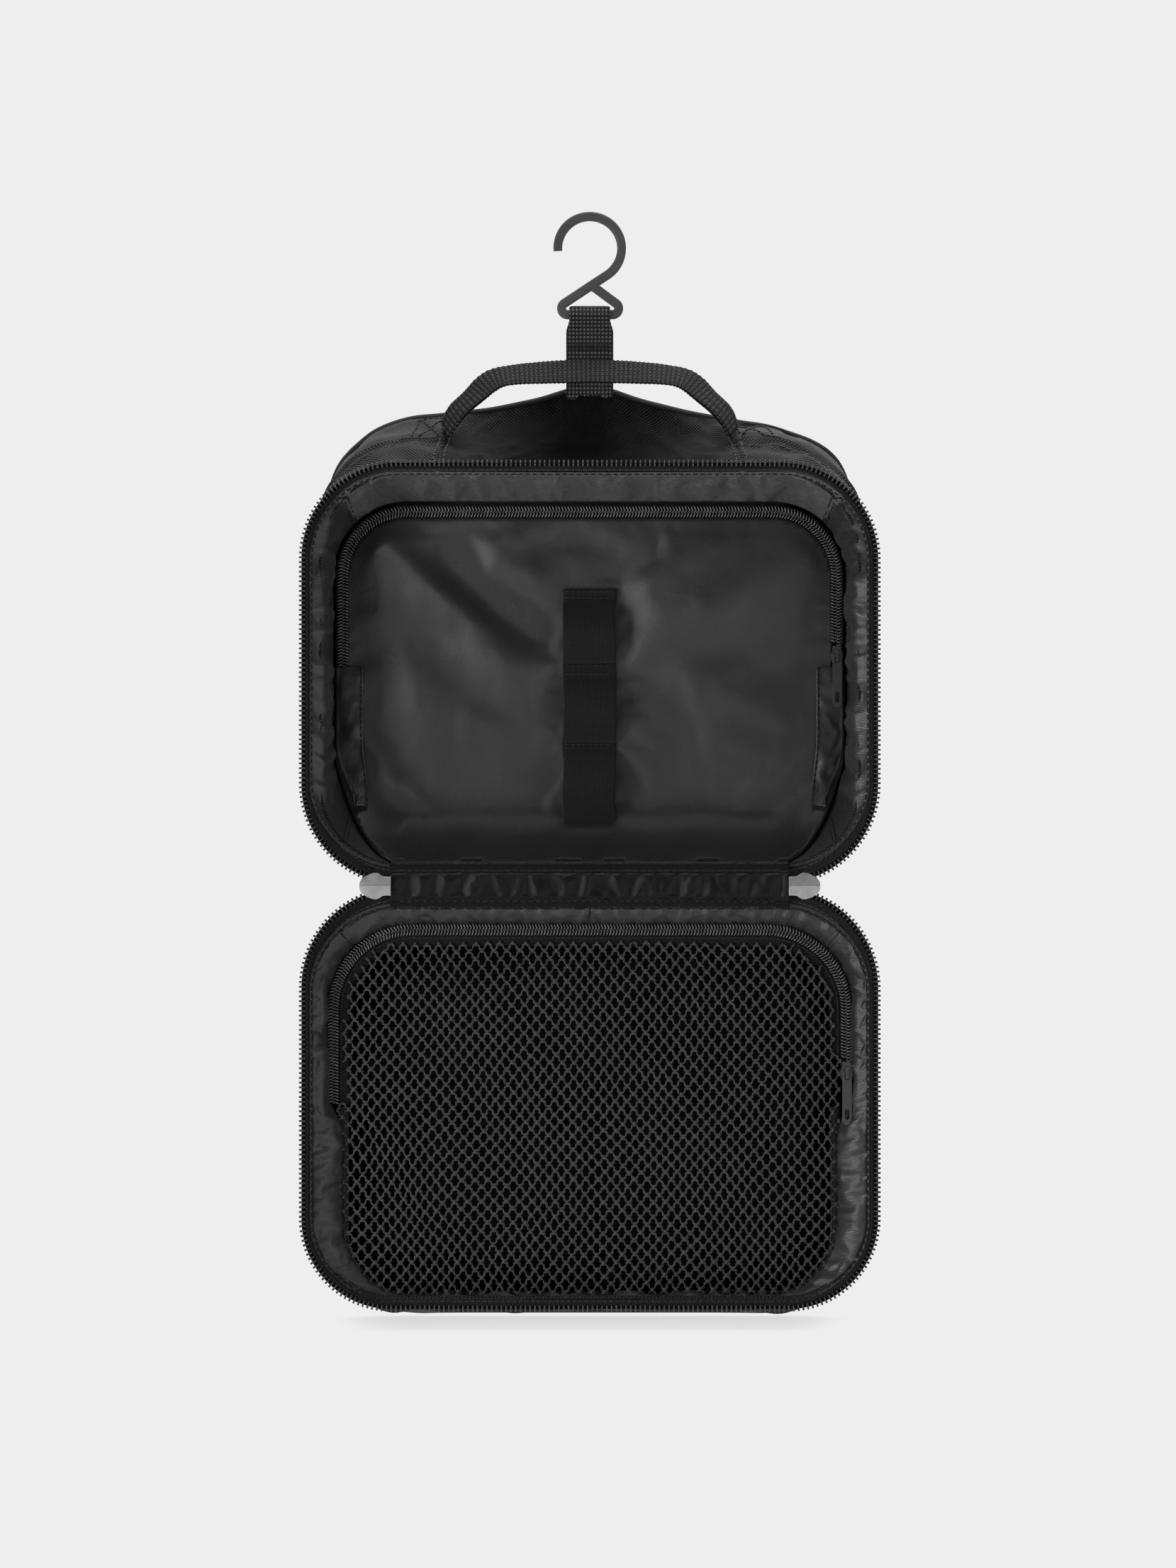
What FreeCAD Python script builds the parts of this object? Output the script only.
import FreeCAD, Part
import math
import os
import Sketcher

# Hanging toiletry bag that opens like a book, top half over bottom half, hanging open by its hook.
#
# Frame: millimetres, +Z up, X across the bag, Y into the bag (the two mouths face -Y).
# The origin is the centre of the hook's crook, where the rail passes. Every piece is drawn about
# the middle of the hinge line, with both rims at y = 0; its Placement then carries it to the crook.

Vector = FreeCAD.Vector
doc = FreeCAD.newDocument("toiletry_bag")

# ---------------------------------------------------------------- driving sizes
# alias, value, meaning
PARAMS = [
    ("rim_half", 115.0, "half width of the zip chain's outer edge"),
    ("rim_gap", 0.3, "chain to hinge line"),
    ("rim_top", 168.5, "hinge line to the far edge of the chain"),
    ("rim_rad", 40.0, "corner radius of the chain"),
    ("chain_wide", 2.4, "width of one row of teeth, in the rim plane"),
    ("chain_front", 0.2, "chain stands this far off the closing plane"),
    ("chain_deep", 1.8, "depth of the chain"),
    ("tape_thick", 0.8, "zip tape thickness"),
    ("tape_back", 8.0, "y of the tape's sewn edge"),
    ("gus_front", 8.2, "y of the gusset's front edge"),
    ("gus_half", 109.4, "gusset front half width"),
    ("gus_near", 6.0, "gusset front edge to hinge line"),
    ("gus_far", 166.0, "gusset front far edge"),
    ("gus_rad", 35.0, "gusset front corner radius"),
    ("gus_wall", 2.4, "outer fabric with its foam"),
    ("back_y", 43.0, "y where the gusset meets the back panel"),
    ("panel_thick", 2.0, "back panel thickness"),
    ("up_back_half", 106.0, "upper back outline half width"),
    ("up_back_near", 20.0, "upper back outline, hinge side"),
    ("up_back_far", 193.0, "upper back outline, top"),
    ("up_back_rad", 40.0, "upper back corner radius"),
    ("lo_back_half", 107.0, "lower back outline half width"),
    ("lo_back_near", 10.0, "lower back outline, hinge side"),
    ("lo_back_far", 174.0, "lower back outline, bottom"),
    ("lo_back_rad", 40.0, "lower back corner radius"),
    ("board_thick", 1.6, "stiffener board in each back"),
    ("board_in", 6.0, "board edge inside the back outline"),
    ("lin_thick", 0.6, "lining thickness"),
    ("lin_front", 8.6, "y of the lining's front edge"),
    ("lin_half", 106.6, "lining front half width"),
    ("lin_near", 8.8, "lining front, hinge side"),
    ("lin_far", 163.2, "lining front, far side"),
    ("lin_rad", 32.2, "lining front corner radius"),
    ("ul_back_y", 34.6, "y of the upper lining's back edge"),
    ("ul_half", 103.9, "upper lining back half width"),
    ("ul_near", 23.6, "upper lining back, hinge side"),
    ("ul_far", 155.0, "upper lining back, top"),
    ("ul_rad", 30.0, "upper lining back corner radius"),
    ("ll_back_y", 40.0, "y of the lower lining's back edge"),
    ("ll_half", 104.4, "lower lining back half width"),
    ("ll_near", 13.4, "lower lining back, hinge side"),
    ("ll_far", 170.2, "lower lining back, bottom"),
    ("ll_rad", 36.0, "lower lining back corner radius"),
    ("pz_half", 100.0, "upper pocket zip centre line, half width"),
    ("pz_top", 150.6, "upper pocket zip centre line, top"),
    ("pz_rad", 26.0, "upper pocket zip corner radius"),
    ("pz_end", 86.4, "upper pocket zip ends at this height"),
    ("mz_half", 102.6, "mesh zip centre line, half width"),
    ("mz_top", 17.8, "mesh zip centre line below the hinge line"),
    ("mz_rad", 32.0, "mesh zip corner radius"),
    ("mz_end", 87.9, "mesh zip ends this far below the hinge line"),
    ("coil_in", 0.5, "coil row to zip centre line"),
    ("coil_out", 2.3, "far edge of a coil row"),
    ("coil_thick", 1.7, "coil row thickness"),
    ("pocket_y", 33.6, "y of the upper pocket's tapes"),
    ("mesh_y", 13.6, "y of the mesh pocket's tapes"),
    ("loop_wide", 20.5, "elastic width"),
    ("loop_thick", 1.1, "elastic thickness"),
    ("strap_wide", 19.0, "hanger webbing width"),
    ("strap_thick", 1.2, "hanger webbing thickness"),
    ("strap_y", 43.0, "y of the hanger strap and hook"),
    ("hook_z", 258.7, "height of the hook's crook centre"),
    ("hook_rad", 11.2, "inner radius of the crook"),
    ("hook_band", 3.6, "hook band width in its plane"),
    ("hook_thick", 3.8, "hook thickness"),
    ("bar_drop", 27.0, "crook centre down to the bar"),
    ("handle_wide", 20.0, "carry webbing width"),
    ("handle_thick", 1.8, "carry webbing thickness"),
    ("spine_half", 77.0, "spine half length"),
    ("spine_tall", 5.2, "spine half height"),
]
sheet = doc.addObject("Spreadsheet::Sheet", "Params")
for row, (alias, value, note) in enumerate(PARAMS, start=1):
    sheet.set(f"A{row}", alias)
    sheet.set(f"B{row}", str(value))
    sheet.set(f"C{row}", note)
    sheet.setAlias(f"B{row}", alias)
doc.recompute()
SIZE = {alias: value for alias, value, _ in PARAMS}

NODES = {}  # label: the object exported under it


# ---------------------------------------------------------------- sketch tools
# Sizes are passed as expressions over the sheet: terms joined by spaced + and - signs.
def value_of(expr):
    """The value of a sum of numbers and Params aliases, for a sketch's first geometry."""
    total, sign = 0.0, 1.0
    for word in expr.split():
        if word in ("+", "-"):
            sign = 1.0 if word == "+" else -1.0
        elif word.startswith("Params."):
            total += sign * SIZE[word[len("Params."):]]
        else:
            total += sign * float(word)
    return total


def new_body(label):
    body = doc.addObject("PartDesign::Body", "B_" + label)
    body.Label = label
    NODES[label] = body
    return body


def origin_plane(body, role):
    return next(f for f in body.Origin.OriginFeatures if f.Role == role)


def new_sketch(body, name, offset=None, role="XZ_Plane"):
    """A sketch on an origin plane: on XZ_Plane it draws x, z at y = offset,
    and on YZ_Plane it draws y, z at x = offset."""
    sketch = body.newObject("Sketcher::SketchObject", name)
    sketch.AttachmentSupport = [(origin_plane(body, role), "")]
    sketch.MapMode = "FlatFace"
    if offset is not None:
        sign = "-" if role == "XZ_Plane" else ""  # the XZ plane's normal points to -Y
        sketch.setExpression("AttachmentOffset.Base.z", f"{sign}({offset})")
    return sketch


def bind(sketch, name, expr, *constraint):
    """Adds a named dimension driven by an expression."""
    index = sketch.addConstraint(Sketcher.Constraint(*constraint))
    sketch.renameConstraint(index, name)
    sketch.setExpression("Constraints." + name, expr)


def bind_from_origin(sketch, name, expr, kind, edge, distance, negative):
    """Drives an edge's distance from the sketch origin, on its positive or negative side."""
    ends = (edge, 1, -1, 1) if negative else (-1, 1, edge, 1)
    bind(sketch, name, expr, kind, *ends, distance)


def draw_rounded(sketch, outline, flip=False):
    """A rounded rectangle symmetric about the vertical axis, from near to far above the
    hinge line, or mirrored below it if flip. An outline is (half, near, far, rad)."""
    half, near, far, rad = (value_of(expr) for expr in outline)
    low, high = (-far, -near) if flip else (near, far)

    def line(start, end):
        return sketch.addGeometry(Part.LineSegment(Vector(*start, 0), Vector(*end, 0)), False)

    def corner(x, z, start):
        circle = Part.Circle(Vector(x, z, 0), Vector(0, 0, 1), rad)
        arc = Part.ArcOfCircle(circle, math.radians(start), math.radians(start + 90))
        return sketch.addGeometry(arc, False)

    bottom = line((-half + rad, low), (half - rad, low))
    corner_1 = corner(half - rad, low + rad, -90)
    right = line((half, low + rad), (half, high - rad))
    corner_2 = corner(half - rad, high - rad, 0)
    top = line((half - rad, high), (-half + rad, high))
    corner_3 = corner(-half + rad, high - rad, 90)
    left = line((-half, high - rad), (-half, low + rad))
    corner_4 = corner(-half + rad, low + rad, 180)
    ring = [bottom, corner_1, right, corner_2, top, corner_3, left, corner_4]
    for i, edge in enumerate(ring):
        sketch.addConstraint(Sketcher.Constraint("Tangent", edge, 2, ring[(i + 1) % 8], 1))
    for edge in (bottom, top):
        sketch.addConstraint(Sketcher.Constraint("Horizontal", edge))
    for edge in (right, left):
        sketch.addConstraint(Sketcher.Constraint("Vertical", edge))
    for edge in (corner_2, corner_3, corner_4):
        sketch.addConstraint(Sketcher.Constraint("Equal", corner_1, edge))
    near_edge, far_edge = (top, bottom) if flip else (bottom, top)
    bind(sketch, "corner", outline[3], "Radius", corner_1, rad)
    bind_from_origin(sketch, "halfr", outline[0], "DistanceX", right, half, False)
    bind_from_origin(sketch, "halfl", outline[0], "DistanceX", left, half, True)
    bind_from_origin(sketch, "near", outline[1], "DistanceY", near_edge, near, flip)
    bind_from_origin(sketch, "far", outline[2], "DistanceY", far_edge, far, flip)


def draw_rectangle(sketch, x_low, x_high, z_low, z_high):
    """A plain rectangle between coordinates, each an expression."""
    left, right, bottom, top = (value_of(expr) for expr in (x_low, x_high, z_low, z_high))
    points = [(left, bottom), (right, bottom), (right, top), (left, top)]
    edges = [
        sketch.addGeometry(
            Part.LineSegment(Vector(*points[i], 0), Vector(*points[(i + 1) % 4], 0)), False
        )
        for i in range(4)
    ]
    for i in range(4):
        joint = Sketcher.Constraint("Coincident", edges[i], 2, edges[(i + 1) % 4], 1)
        sketch.addConstraint(joint)
    for i in (0, 2):
        sketch.addConstraint(Sketcher.Constraint("Horizontal", edges[i]))
    for i in (1, 3):
        sketch.addConstraint(Sketcher.Constraint("Vertical", edges[i]))
    for name, kind, edge, place, expr in (
        ("xa", "DistanceX", edges[3], left, x_low),
        ("xb", "DistanceX", edges[1], right, x_high),
        ("za", "DistanceY", edges[0], bottom, z_low),
        ("zb", "DistanceY", edges[2], top, z_high),
    ):
        if place < 0:
            expr = f"0 - ({expr})"
        bind_from_origin(sketch, name, expr, kind, edge, abs(place), place < 0)


def draw_path(sketch, points):
    """Lines and three-point arcs, end to end from the first point. An entry is a line's end
    (u, v), or ((u, v), (u, v)) for an arc's middle and end."""
    here = points[0]
    for entry in points[1:]:
        if isinstance(entry[0], tuple):
            middle, end = entry
            curve = Part.Arc(Vector(*here, 0), Vector(*middle, 0), Vector(*end, 0))
        else:
            end = entry
            curve = Part.LineSegment(Vector(*here, 0), Vector(*end, 0))
        sketch.addGeometry(curve, False)
        here = end


# ---------------------------------------------------------------- body tools
def outline_of(prefix):
    """The (half, near, far, rad) expressions of one outline in the sheet."""
    return tuple(f"Params.{prefix}_{part}" for part in ("half", "near", "far", "rad"))


def inset(outline, depth):
    half, near, far, rad = outline
    return (f"{half} - {depth}", f"{near} + {depth}", f"{far} - {depth}", f"{rad} - {depth}")


def pad(body, profile, length, backward=True):
    """A pad; backward takes an XZ sketch towards +Y."""
    feature = body.newObject("PartDesign::Pad", "Pad")
    feature.Profile = profile
    feature.setExpression("Length", length)
    feature.Reversed = backward
    return feature


def cut_through(body, profile, name="Cut"):
    feature = body.newObject("PartDesign::Pocket", name)
    feature.Profile = profile
    feature.Type = 1
    feature.Midplane = True


def cut_band(body, name, x_low, x_high, z_low, z_high):
    """Cuts a rectangle away right through the depth of the bag."""
    sketch = new_sketch(body, name)
    draw_rectangle(sketch, x_low, x_high, z_low, z_high)
    cut_through(body, sketch)


def slab(label, y, thick, outline, flip):
    """A flat rounded sheet whose front face is at y."""
    body = new_body(label)
    sketch = new_sketch(body, "outline", y)
    draw_rounded(sketch, outline, flip)
    pad(body, sketch, thick)
    return body


def flat_ring(label, y, thick, outer, inner, flip):
    """A flat ring between two rounded outlines, with its front face at y."""
    body = new_body(label)
    sketch = new_sketch(body, "out", y)
    draw_rounded(sketch, outer, flip)
    pad(body, sketch, thick)
    sketch = new_sketch(body, "inn", y)
    draw_rounded(sketch, inner, flip)
    cut_through(body, sketch, "Hole")
    return body


def lofted_ring(label, front_y, rear_y, front, rear, wall, flip):
    """A wall lofted between two rounded outlines, hollow right through."""
    body = new_body(label)
    for kind, name, suffix, sections in (
        ("PartDesign::AdditiveLoft", "Outer", "out", (front, rear)),
        ("PartDesign::SubtractiveLoft", "Inner", "in", (inset(front, wall), inset(rear, wall))),
    ):
        first = new_sketch(body, "front_" + suffix, front_y)
        draw_rounded(first, sections[0], flip)
        second = new_sketch(body, "rear_" + suffix, rear_y)
        draw_rounded(second, sections[1], flip)
        loft = body.newObject(kind, name)
        loft.Profile = first
        loft.Sections = [second]
        loft.Ruled = True
        loft.Closed = False
    return body


# ---------------------------------------------------------------- the two shells
GUSSET = outline_of("gus")
RIM = ("Params.rim_half", "Params.rim_gap", "Params.rim_top", "Params.rim_rad")
SEAM = "0.2"  # clearance between neighbouring pieces
RIM_OPENING = "93"  # half width of the break in the rim beside the hinge
RIM_OPENING_TALL = "24"


def open_hinge_side(body, flip):
    """Cuts a ring away beside the hinge, so that it stops at the sliders."""
    z_span = (f"0 - {RIM_OPENING_TALL}", "1") if flip else ("-1", RIM_OPENING_TALL)
    cut_band(body, "gap", f"0 - {RIM_OPENING}", RIM_OPENING, *z_span)


def shell_back(side, back, flip):
    slab(
        side + "_back_panel",
        f"Params.back_y + {SEAM}",
        f"Params.panel_thick - {SEAM}",
        back,
        flip,
    )
    slab(
        side + "_stiffener_board",
        f"Params.back_y - Params.board_thick - {SEAM}",
        "Params.board_thick",
        inset(back, "Params.board_in"),
        flip,
    )


def shell_rim(side, flip):
    """The main zip's tape and its row of teeth."""
    tape = lofted_ring(
        side + "_zip_tape",
        f"Params.chain_front + Params.chain_deep + {SEAM}",
        "Params.tape_back",
        inset(RIM, "0.7"),
        inset(GUSSET, "0.1"),
        "Params.tape_thick",
        flip,
    )
    open_hinge_side(tape, flip)
    chain = flat_ring(
        side + "_zip_chain",
        "Params.chain_front",
        "Params.chain_deep",
        RIM,
        inset(RIM, "Params.chain_wide"),
        flip,
    )
    open_hinge_side(chain, flip)


def shell(side, back, lining_prefix, flip):
    lofted_ring(
        side + "_gusset",
        "Params.gus_front",
        "Params.back_y",
        GUSSET,
        back,
        "Params.gus_wall",
        flip,
    )
    shell_back(side, back, flip)
    lofted_ring(
        side + "_lining",
        "Params.lin_front",
        f"Params.{lining_prefix}_back_y",
        outline_of("lin"),
        outline_of(lining_prefix),
        "Params.lin_thick",
        flip,
    )
    shell_rim(side, flip)


shell("upper", outline_of("up_back"), "ul", False)
shell("lower", outline_of("lo_back"), "ll", True)

# the sheets behind the linings; the upper one is the pocket's rear wall
slab(
    "upper_pocket_rear_sheet",
    "Params.ul_back_y + 4.0",
    "Params.lin_thick",
    ("Params.ul_half - 1", "Params.ul_near + 1", "Params.ul_far - 1", "Params.ul_rad"),
    False,
)
slab(
    "lower_lining_rear_sheet",
    f"Params.ll_back_y + {SEAM}",
    "Params.lin_thick",
    outline_of("ll"),
    True,
)

# ---------------------------------------------------------------- pocket zips
POCKET_TAPE_THICK = 0.7
UPPER_RIGHT_END = 97.4  # the inner rows stop at the slider on the right, above the hinge line
MESH_RIGHT_END = 69.4  # the same, below the hinge line


def zip_strip(label, prefix, y, thick, outer, inner, flip, right_end=None):
    """One side of a pocket zip: an arch between two signed offsets of the zip's centre line,
    cut off at the zip's end height, or at right_end on its right-hand side."""
    half, top, rad = (f"Params.{prefix}_{part}" for part in ("half", "top", "rad"))

    def offset_outline(offset, open_end):
        if flip:
            opposite = {"+": "-", "-": "+"}[offset[0]] + offset[1:]
            return (f"{half} {offset}", f"{top} {opposite}", open_end, f"{rad} {offset}")
        return (f"{half} {offset}", open_end, f"{top} {offset}", f"{rad} {offset}")

    # the inner outline runs on past the outer one, which opens the arch
    outer_end, inner_end = ("160", "170") if flip else ("20", "10")
    body = flat_ring(
        label,
        y,
        thick,
        offset_outline(outer, outer_end),
        offset_outline(inner, inner_end),
        flip,
    )

    def cut_end(name, x_low, height):
        z_span = ("-200", f"0 - {height}") if flip else ("-1", height)
        cut_band(body, name, x_low, "140", *z_span)

    cut_end("ends", "-140", f"Params.{prefix}_end")
    if right_end:
        cut_end("right_end", "60", right_end)


def pocket_zip(label, prefix, y, tape_outer, tape_inner, flip, right_end):
    """Two tapes and two coil rows; the offsets are those of the tapes' far edges."""
    tape_thick = str(POCKET_TAPE_THICK)
    coil_y = f"{y} - Params.coil_thick - 0.1"
    for part, part_y, thick, near, far_outer, far_inner in (
        ("tape", y, tape_thick, "0.4", tape_outer, tape_inner),
        ("coil", coil_y, "Params.coil_thick", "Params.coil_in", *["Params.coil_out"] * 2),
    ):
        zip_strip(
            f"{label}_outer_{part}", prefix, part_y, thick, f"+ {far_outer}", f"+ {near}", flip
        )
        zip_strip(
            f"{label}_inner_{part}",
            prefix,
            part_y,
            thick,
            f"- {near}",
            f"- {far_inner}",
            flip,
            str(right_end),
        )


pocket_zip("upper_pocket", "pz", "Params.pocket_y", "2.8", "7.5", False, UPPER_RIGHT_END)
pocket_zip("mesh_pocket", "mz", "Params.mesh_y", "2.4", "7.0", True, MESH_RIGHT_END)

# ---------------------------------------------------------------- pocket panels
UPPER_FOLD, MESH_FOLD = 85.8, 88.5  # hinge line to the two pocket flaps' fold lines
FOLD_GAP = 0.6  # each panel stops this far from its fold line
PANEL_THICK = "0.8"
PANEL_LIFT = "0.9"  # panel's front face ahead of the tapes


def pocket_panel(label, tape_y, outline, flip, cut_low, cut_high):
    """A flat panel with the band between two heights cut away."""
    body = slab(label, f"{tape_y} - {PANEL_LIFT}", PANEL_THICK, outline, flip)
    cut_band(body, "below", "-140", "140", str(cut_low), str(cut_high))


pocket_panel(
    "upper_pocket_flap",
    "Params.pocket_y",
    ("Params.pz_half - 4.4", "20", "Params.pz_top - 4.4", "Params.pz_rad - 4.4"),
    False,
    0,
    UPPER_FOLD + FOLD_GAP,
)
pocket_panel(
    "upper_pocket_front",
    "Params.pocket_y",
    ("Params.ul_half - 0.9", "Params.ul_near + 0.9", "140", "29"),
    False,
    UPPER_FOLD - FOLD_GAP,
    300,
)
pocket_panel(
    "mesh_flap_net",
    "Params.mesh_y",
    ("Params.mz_half - 3.4", "Params.mz_top + 3.4", "160", "Params.mz_rad - 3.4"),
    True,
    -300,
    -MESH_FOLD + FOLD_GAP,
)
pocket_panel(
    "mesh_pocket_net",
    "Params.mesh_y",
    ("Params.ll_half - 0.6", "30", "Params.lin_far - 1.4", "29"),
    True,
    -MESH_FOLD - FOLD_GAP,
    50,
)


# ---------------------------------------------------------------- elastic loops
def elastic(label, loops, low, high):
    """A ribbon flat on the upper pocket from low to high, standing off it in loops.
    Each loop is (low, high, bulge)."""
    body = new_body(label)
    sketch = new_sketch(body, "profile", "0 - Params.loop_wide / 2", "YZ_Plane")
    thick = SIZE["loop_thick"]
    rear = SIZE["pocket_y"] - 1.0
    front = rear - thick
    points = [(front, low)]
    for start, end, bulge in loops:
        points += [(front, start), ((front - bulge, (start + end) / 2), (front, end))]
    points += [(front, high), (rear, high)]
    for start, end, bulge in reversed(loops):
        points.append((rear, end - thick * 0.9))
        points.append(((rear - bulge, (start + end) / 2), (rear, start + thick * 0.9)))
    points += [(rear, low), (front, low)]
    draw_path(sketch, points)
    pad(body, sketch, "Params.loop_wide", backward=False)


elastic("elastic_loop_strip", [(24.6, 54.0, 8.0), (57.4, 83.6, 7.0)], 24.2, 84.3)
elastic("elastic_loop_top", [(89.6, 114.6, 7.0)], 86.6, 119.0)


# ---------------------------------------------------------------- spine
def spine_layer(label, y):
    body = new_body(label)
    sketch = new_sketch(body, "outline", y)
    draw_rectangle(
        sketch,
        "0 - Params.spine_half",
        "Params.spine_half",
        "0 - Params.spine_tall",
        "Params.spine_tall",
    )
    pad(body, sketch, "1.0")


spine_layer("spine_lining", "0.3")
spine_layer("spine_outer", "1.5")

# ---------------------------------------------------------------- carry handle
TOP_RISE = SIZE["up_back_far"] - SIZE["gus_far"]  # of the gusset's top, front to back
TOP_RUN = SIZE["back_y"] - SIZE["gus_front"]
FOOT_X = 61.0  # half distance between the handle's feet
HANDLE_Y = 15.5  # front edge of the carry webbing
HANDLE_TILT = math.radians(26.0)
ANCHOR_LONG = 17.0
ANCHOR_OUT = 2.6  # anchor beyond the middle of the foot
ANCHOR_BACK = 1.5  # anchor behind the webbing's front edge
ANCHOR_LIFT = 0.5  # anchor above the gusset, square to it


def gusset_top(y):
    return SIZE["gus_far"] + TOP_RISE * (y - SIZE["gus_front"]) / TOP_RUN


def carry_handle():
    body = new_body("carry_handle")
    sketch = new_sketch(body, "profile", str(HANDLE_Y))
    foot_z = gusset_top(HANDLE_Y) - 4.0
    foot_outer = FOOT_X + SIZE["handle_thick"] / 2
    foot_inner = FOOT_X - SIZE["handle_thick"] / 2
    # x, z: along the outer face from left to right, then back along the inner face
    draw_path(sketch, [
        (-foot_outer, foot_z),
        ((-56.0, 187.5), (-44.0, 200.6)),
        ((-40.5, 202.6), (-36.0, 203.2)),
        (36.0, 203.2),
        ((40.5, 202.6), (44.0, 200.6)),
        ((56.0, 187.5), (foot_outer, foot_z)),
        (foot_inner, foot_z),
        ((54.4, 186.6), (42.8, 199.3)),
        ((39.8, 200.9), (36.0, 201.4)),
        (-36.0, 201.4),
        ((-39.8, 200.9), (-42.8, 199.3)),
        ((-54.4, 186.6), (-foot_inner, foot_z)),
        (-foot_outer, foot_z),
    ])
    webbing = pad(body, sketch, "Params.handle_wide", backward=False)
    webbing.UseCustomVector = True
    webbing.Direction = Vector(0, math.cos(HANDLE_TILT), math.sin(HANDLE_TILT))
    webbing.AlongSketchNormal = False

    # the feet follow the slope of the gusset they are sewn to
    front, rear, below = HANDLE_Y - 10.0, HANDLE_Y + 40.0, 120.0
    sketch = new_sketch(body, "feet", role="YZ_Plane")
    draw_path(sketch, [
        (front, below),
        (rear, below),
        (rear, gusset_top(rear) + 4.0),
        (front, gusset_top(front) + 4.0),
        (front, below),
    ])
    cut_through(body, sketch, "Feet")


def handle_anchor(label, x):
    """A flat tab lying on the gusset's slope, with its left end at x."""
    box = doc.addObject("Part::Box", label)
    box.Label = label
    box.Length = ANCHOR_LONG
    box.setExpression("Width", "Params.handle_wide")
    box.setExpression("Height", "Params.handle_thick")
    y = HANDLE_Y + ANCHOR_BACK
    slope = FreeCAD.Rotation(Vector(1, 0, 0), math.degrees(math.atan2(TOP_RISE, TOP_RUN)))
    normal = slope.multVec(Vector(0, 0, 1))
    base = Vector(x, y, gusset_top(y)) + normal * ANCHOR_LIFT
    box.Placement = FreeCAD.Placement(base, slope)
    NODES[label] = box


carry_handle()
handle_anchor("handle_anchor_left", -FOOT_X - ANCHOR_OUT - ANCHOR_LONG)
handle_anchor("handle_anchor_right", FOOT_X + ANCHOR_OUT)

# ---------------------------------------------------------------- hanger strap
STRAP_Y = SIZE["strap_y"]
CROOK_Z = SIZE["hook_z"]
BAR_Z = CROOK_Z - SIZE["bar_drop"]
STRAP_FOOT_Z = 196.0
EYE_RAD = 2.45  # the webbing's eye round the hook's bar


def hanger_strap():
    """Doubled webbing that widens into an eye round the bar."""
    body = new_body("hanger_strap")
    sketch = new_sketch(body, "profile", "0 - Params.strap_wide / 2", "YZ_Plane")
    thick = SIZE["strap_thick"]
    eye_outer = EYE_RAD + thick
    neck_z = BAR_Z - 7.4
    draw_path(sketch, [
        (STRAP_Y - thick, STRAP_FOOT_Z),
        (STRAP_Y + thick, STRAP_FOOT_Z),
        (STRAP_Y + thick, neck_z),
        ((STRAP_Y + thick + 1.0, BAR_Z - 4.2), (STRAP_Y + eye_outer, BAR_Z)),
        ((STRAP_Y, BAR_Z + eye_outer), (STRAP_Y - eye_outer, BAR_Z)),
        ((STRAP_Y - thick - 1.0, BAR_Z - 4.2), (STRAP_Y - thick, neck_z)),
        (STRAP_Y - thick, STRAP_FOOT_Z),
    ])
    pad(body, sketch, "Params.strap_wide", backward=False)
    sketch = new_sketch(body, "eye", role="YZ_Plane")
    eye = Part.Circle(Vector(STRAP_Y, BAR_Z, 0), Vector(0, 0, 1), EYE_RAD)
    sketch.addGeometry(eye, False)
    sketch.addConstraint(Sketcher.Constraint("Radius", 0, EYE_RAD))
    cut_through(body, sketch, "Eye")
    # the webbing draws in where it turns round the bar
    for x_low, x_high in (("-20", "-8.2"), ("8.2", "20")):
        cut_band(body, "draw_in", x_low, x_high, str(BAR_Z - 5.2), "300")


hanger_strap()

# ---------------------------------------------------------------- hook
CROOK_RAD = SIZE["hook_rad"] + SIZE["hook_band"] / 2  # to the middle of the band
TIP_ANGLE = math.radians(184)
TURN_ANGLE = math.radians(-56.6)  # where the stem leaves the crook
LEG_END = (0.9, CROOK_Z - 15.2)
BAR_CORNER_RAD = 2.5
SECTION_CORNER = 0.9


def crook_point(angle):
    return (CROOK_RAD * math.cos(angle), CROOK_Z + CROOK_RAD * math.sin(angle))


def round_corner(before, corner, after, radius):
    """First tangent point, arc middle and second tangent point of a rounded corner."""
    apex = Vector(*corner, 0)
    to_before = Vector(*before, 0) - apex
    to_after = Vector(*after, 0) - apex
    to_before.normalize()
    to_after.normalize()
    half = math.acos(max(-1, min(1, to_before.dot(to_after)))) / 2
    reach = radius / math.tan(half)
    bisector = to_before + to_after
    bisector.normalize()
    middle = apex + bisector * (radius / math.sin(half)) - bisector * radius
    return [(p.x, p.y) for p in (apex + to_before * reach, middle, apex + to_after * reach)]


def hook_section(body, name, origin, direction):
    """The band's rounded section, on a plane square to the path at origin."""
    sketch = body.newObject("Sketcher::SketchObject", name)
    across = Vector(0, 1, 0)
    along = Vector(direction[0], 0, direction[1])
    along.normalize()
    up = along.cross(across)
    sketch.AttachmentSupport = [(origin_plane(body, "XY_Plane"), "")]
    sketch.MapMode = "FlatFace"
    sketch.AttachmentOffset = axes_placement(
        (origin[0], STRAP_Y, origin[1]), across, up, along
    )
    u, v = SIZE["hook_thick"] / 2, SIZE["hook_band"] / 2
    corner = SECTION_CORNER
    nip = corner * (1 - math.sin(math.pi / 4))  # arc's middle inside the square corner
    draw_path(sketch, [
        (-u + corner, -v),
        (u - corner, -v),
        ((u - nip, -v + nip), (u, -v + corner)),
        (u, v - corner),
        ((u - nip, v - nip), (u - corner, v)),
        (-u + corner, v),
        ((-u + nip, v - nip), (-u, v - corner)),
        (-u, -v + corner),
        ((-u + nip, -v + nip), (-u + corner, -v)),
    ])
    return sketch


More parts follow.
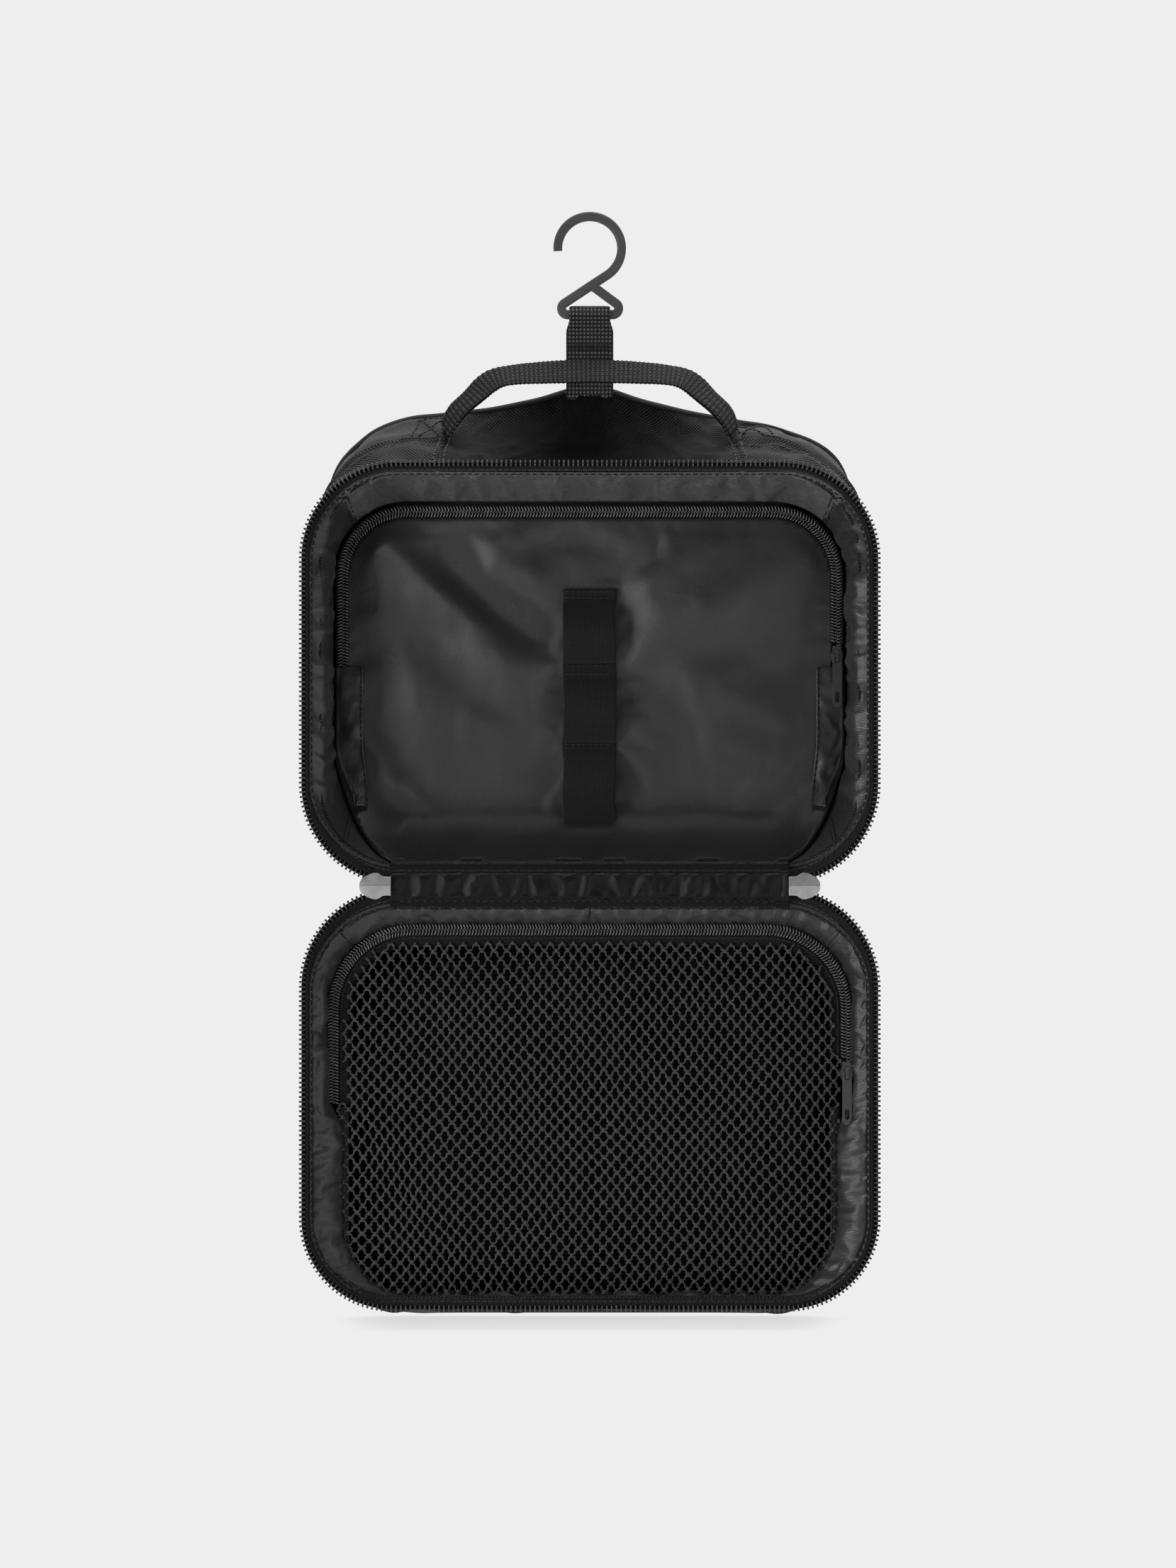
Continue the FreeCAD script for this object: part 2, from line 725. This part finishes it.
def axes_placement(origin, u, v, w):
    """Carries a local frame's axes onto u, v, w at origin."""
    rows = [(u[i], v[i], w[i], origin[i]) for i in range(3)]
    return FreeCAD.Placement(FreeCAD.Matrix(*rows[0], *rows[1], *rows[2], 0, 0, 0, 1))


def sweep(body, name, section, path):
    pipe = body.newObject("PartDesign::AdditivePipe", name)
    pipe.Profile = section
    pipe.Spine = (path, [])
    pipe.Mode = 0


def hanging_hook():
    """Crook, stem and bar in one sweep, then the leg that rises from the bar's right end."""
    body = new_body("hanging_hook")
    tip = crook_point(TIP_ANGLE)
    tail = crook_point(TURN_ANGLE)
    # the stem leaves the crook along its tangent
    stem = (math.sin(TURN_ANGLE), -math.cos(TURN_ANGLE))
    left_corner = (tail[0] + stem[0] * (BAR_Z - tail[1]) / stem[1], BAR_Z)
    right_corner = (-left_corner[0] - 0.4, BAR_Z)
    left_start, left_mid, left_end = round_corner(
        tail, left_corner, right_corner, BAR_CORNER_RAD
    )
    right_start, right_mid, right_end = round_corner(
        left_corner, right_corner, LEG_END, BAR_CORNER_RAD
    )
    path = new_sketch(body, "path", "Params.strap_y")
    draw_path(path, [
        tip,
        (crook_point(math.radians(90)), crook_point(0)),
        (crook_point(TURN_ANGLE / 2), tail),
        left_start,
        (left_mid, left_end),
        right_start,
        (right_mid, right_end),
    ])
    leg = new_sketch(body, "leg", "Params.strap_y")
    draw_path(leg, [right_end, LEG_END])

    section = hook_section(body, "section", tip, (math.sin(TIP_ANGLE), -math.cos(TIP_ANGLE)))
    sweep(body, "Crook", section, path)
    leg_direction = (LEG_END[0] - right_end[0], LEG_END[1] - right_end[1])
    section = hook_section(body, "section_leg", right_end, leg_direction)
    sweep(body, "Leg", section, leg)


hanging_hook()

# ---------------------------------------------------------------- sliders and pullers
# Half outline of a slider's plate, nose to tail: (u along the chain, v across it)
SHIELD = [
    (12.4, 0.0), (12.2, 1.6), (11.3, 2.95), (9.6, 4.15), (7.6, 4.95),
    (5.7, 5.2), (4.4, 4.75), (3.2, 3.95), (2.2, 3.75), (0.0, 3.75),
]
TAIL_HALF = SHIELD[-1][1]


def shield_face(scale_u, scale_v, margin=0.0):
    """The plate's face: one smooth curve from tail corner to tail corner, and a straight tail."""
    half = [(u * scale_u, max(0.0, v * scale_v - margin)) for u, v in SHIELD]
    half[0] = (half[0][0] - margin, 0.0)
    half[-1] = (half[-1][0] + margin, half[-1][1])
    run = [Vector(u, v, 0) for u, v in [(u, -v) for u, v in reversed(half[1:])] + half]
    curve = Part.BSplineCurve()
    curve.interpolate(run)
    return Part.Face(Part.Wire([curve.toShape(), Part.makeLine(run[-1], run[0])]))


def slider_shape(scale_u, scale_v, plate, gap, post_wide, lip):
    """A slider in its own frame: u along the chain from tail to nose, v across,
    w from the bare plate (0) to the puller's plate."""
    bare = shield_face(scale_u, scale_v).extrude(Vector(0, 0, plate))
    top = shield_face(scale_u, scale_v, 0.35).extrude(Vector(0, 0, plate))
    top.translate(Vector(0, 0, plate + gap))
    start, end, half = 5.2 * scale_u, 11.6 * scale_u, post_wide / 2
    post_points = [
        (start, -half), (end - 0.8, -half), (end, 0), (end - 0.8, half),
        (start, half), (start - 0.6, 0), (start, -half),
    ]
    post = Part.Face(Part.makePolygon([Vector(u, v, 0) for u, v in post_points]))
    post = post.extrude(Vector(0, 0, gap + 2 * plate - 0.4))
    post.translate(Vector(0, 0, 0.2))
    slider = bare.fuse([top, post])
    # lips along both sides of each plate
    lip_wide = 0.7
    for side in (-1, 1):
        for w in (plate, plate + gap - lip):
            wall = Part.makeBox(2.9 * scale_u, lip_wide, lip)
            v = (TAIL_HALF * scale_v - 0.45) * side
            wall.translate(Vector(0.35, v - (lip_wide if side > 0 else 0.0), w))
            slider = slider.fuse(wall)
    return slider.removeSplitter()


def bail_shape(start, length, wide, tall, wall, base):
    """The bridge that holds the puller: an arch along the slider with its opening across."""
    arch = Part.makeBox(length, wide, tall)
    opening = Part.makeBox(length - 2 * wall, wide + 2, tall - wall)
    opening.translate(Vector(wall, -1, 0))
    arch = arch.cut(opening)
    arch.translate(Vector(0, -wide / 2, base))
    arch.translate(Vector(start, 0, 0))
    return arch


def puller_shape(length, wide, thick, pin_rad, slot, hole):
    """A puller in its own frame: its pin lies on the v axis at the origin and the tab runs
    towards +u, with w through its thickness. slot is (length, width) of the cut at the pin,
    hole is (u, radius, stretch) of the oblong hole along the tab."""
    tab = Part.makeBox(length, wide, thick)
    tab.translate(Vector(-pin_rad - 0.2, -wide / 2, -thick / 2))
    far_corners = [
        e for e in tab.Edges
        if abs(e.Vertexes[0].Z - e.Vertexes[1].Z) > thick * 0.9 and e.Vertexes[0].X > 0
    ]
    tab = tab.makeFillet(wide / 2 - 0.15, far_corners)
    slot_long, slot_wide = slot
    cutter_tall, cutter_base = thick * 3, -thick * 1.5
    cutter = Part.makeBox(slot_long, slot_wide, cutter_tall)
    cutter.translate(Vector(-pin_rad - 1.5, -slot_wide / 2, cutter_base))
    tab = tab.cut(cutter)
    pin_start = Vector(0, -slot_wide / 2 - 0.3, 0)
    tab = tab.fuse(Part.makeCylinder(pin_rad, slot_wide + 0.6, pin_start, Vector(0, 1, 0)))
    hole_u, hole_rad, stretch = hole
    for u in (hole_u, hole_u + stretch):
        end = Part.makeCylinder(
            hole_rad, cutter_tall, Vector(u, 0, cutter_base), Vector(0, 0, 1)
        )
        tab = tab.cut(end)
    middle = Part.makeBox(stretch, 2 * hole_rad, cutter_tall)
    middle.translate(Vector(hole_u, -hole_rad, cutter_base))
    return tab.cut(middle).removeSplitter()


def feature(label, shape, placement):
    part = doc.addObject("Part::Feature", "F_" + label)
    part.Label = label
    part.Shape = shape
    part.Placement = placement
    NODES[label] = part


BAIL_SINK = 0.05  # the bail's feet sink into the puller's plate

# main sliders: the bare plate faces the inside of the bag, and the puller hangs outside
MAIN_PLATE, MAIN_GAP = 1.1, 2.6
MAIN_TALL = 2 * MAIN_PLATE + MAIN_GAP
MAIN_TAIL_X = 78.8
MAIN_BAIL_START, MAIN_BAIL_LONG = 3.2, 6.0
MAIN_PIN_W = MAIN_TALL + 1.15


def main_slider_shape():
    slider = slider_shape(
        scale_u=1.0, scale_v=1.0, plate=MAIN_PLATE, gap=MAIN_GAP, post_wide=1.6, lip=0.75
    )
    bail = bail_shape(
        start=MAIN_BAIL_START, length=MAIN_BAIL_LONG, wide=1.6, tall=3.4, wall=0.9,
        base=MAIN_TALL - BAIL_SINK,
    )
    slider = slider.fuse(bail).removeSplitter()
    # the bare plate is faced off to a shallow ridge along its middle
    for side in (-1, 1):
        wedge_points = [(0, 0), (side * 8.0, 0.72), (side * 8.0, -2.0), (0, -2.0), (0, 0)]
        wedge = Part.Face(Part.makePolygon([Vector(-2, v, w) for v, w in wedge_points]))
        slider = slider.cut(wedge.extrude(Vector(20, 0, 0)))
    return slider.removeSplitter()


def main_sliders():
    slider = main_slider_shape()
    puller = puller_shape(
        length=26.0, wide=5.4, thick=1.3, pin_rad=0.6, slot=(6.3, 2.2), hole=(14.5, 1.25, 5.0)
    )
    bare_y = -MAIN_TALL / 2
    pin_x = MAIN_TAIL_X + MAIN_BAIL_START + MAIN_BAIL_LONG / 2
    for label, side in (("left", -1), ("right", 1)):
        place = axes_placement(
            (side * MAIN_TAIL_X, bare_y, 0), (side, 0, 0), (0, 0, -side), (0, 1, 0)
        )
        feature("main_slider_" + label, slider, place)
        place = axes_placement(
            (side * pin_x, bare_y + MAIN_PIN_W, 0), (-side, 0, 0), (0, 0, side), (0, 1, 0)
        )
        feature("main_puller_" + label, puller, place)


# pocket sliders: on the right-hand run, straddling both coil rows and both tapes, nose down
SMALL_PLATE, SMALL_GAP = 0.8, 2.95
SMALL_TALL = 2 * SMALL_PLATE + SMALL_GAP
SMALL_BAIL_START, SMALL_BAIL_LONG = 2.2, 4.6
SMALL_PIN_W = SMALL_TALL + 0.95
TAPE_CLEARANCE = 0.15
TAIL_DROP = 0.8  # slider's tail below the end of the inner rows


def pocket_sliders():
    slider = slider_shape(
        scale_u=0.72, scale_v=0.55, plate=SMALL_PLATE, gap=SMALL_GAP, post_wide=0.7, lip=0.1
    )
    bail = bail_shape(
        start=SMALL_BAIL_START, length=SMALL_BAIL_LONG, wide=1.2, tall=2.6, wall=0.7,
        base=SMALL_TALL - BAIL_SINK,
    )
    slider = slider.fuse(bail).removeSplitter()
    puller = puller_shape(
        length=21.5, wide=3.8, thick=1.0, pin_rad=0.5, slot=(4.8, 1.8), hole=(15.4, 0.95, 2.4)
    )
    axes = ((0, 0, -1), (1, 0, 0), (0, -1, 0))
    for label, x, tape_y, end_z in (
        ("upper_pocket", SIZE["pz_half"], SIZE["pocket_y"], UPPER_RIGHT_END),
        ("mesh_pocket", SIZE["mz_half"], SIZE["mesh_y"], -MESH_RIGHT_END),
    ):
        tail_z = end_z - TAIL_DROP
        # rear face of the bare plate, behind the tapes
        bare_y = tape_y + POCKET_TAPE_THICK + TAPE_CLEARANCE + SMALL_PLATE
        pin_z = tail_z - SMALL_BAIL_START - SMALL_BAIL_LONG / 2
        feature(label + "_slider", slider, axes_placement((x, bare_y, tail_z), *axes))
        pin = (x, bare_y - SMALL_PIN_W, pin_z)
        feature(label + "_puller", puller, axes_placement(pin, *axes))


main_sliders()
pocket_sliders()

# ---------------------------------------------------------------- to the crook's centre
home = FreeCAD.Placement(Vector(0, -STRAP_Y, -CROOK_Z), FreeCAD.Rotation())
for node in NODES.values():
    node.Placement = home * node.Placement
    if node.TypeId == "PartDesign::Body":
        node.setExpression("Placement.Base.y", "0 - Params.strap_y")
        node.setExpression("Placement.Base.z", "0 - Params.hook_z")

# ---------------------------------------------------------------- recompute, check, write
doc.recompute()
faults = [
    f"{item.Name} ({item.Label}): {item.State}"
    for item in doc.Objects
    if any(word in ("Invalid", "Error") for word in item.State)
]
for label, node in NODES.items():
    if node.Shape.isNull() or not node.Shape.isValid() or not node.Shape.Solids:
        faults.append(f"{label}: null or invalid shape")
if faults:
    raise SystemExit("\n".join(faults))

os.makedirs("parts", exist_ok=True)
for old in os.listdir("parts"):
    if old.endswith(".step"):
        os.remove(os.path.join("parts", old))
for label, node in NODES.items():
    node.Shape.exportStep(os.path.join("parts", label + ".step"))
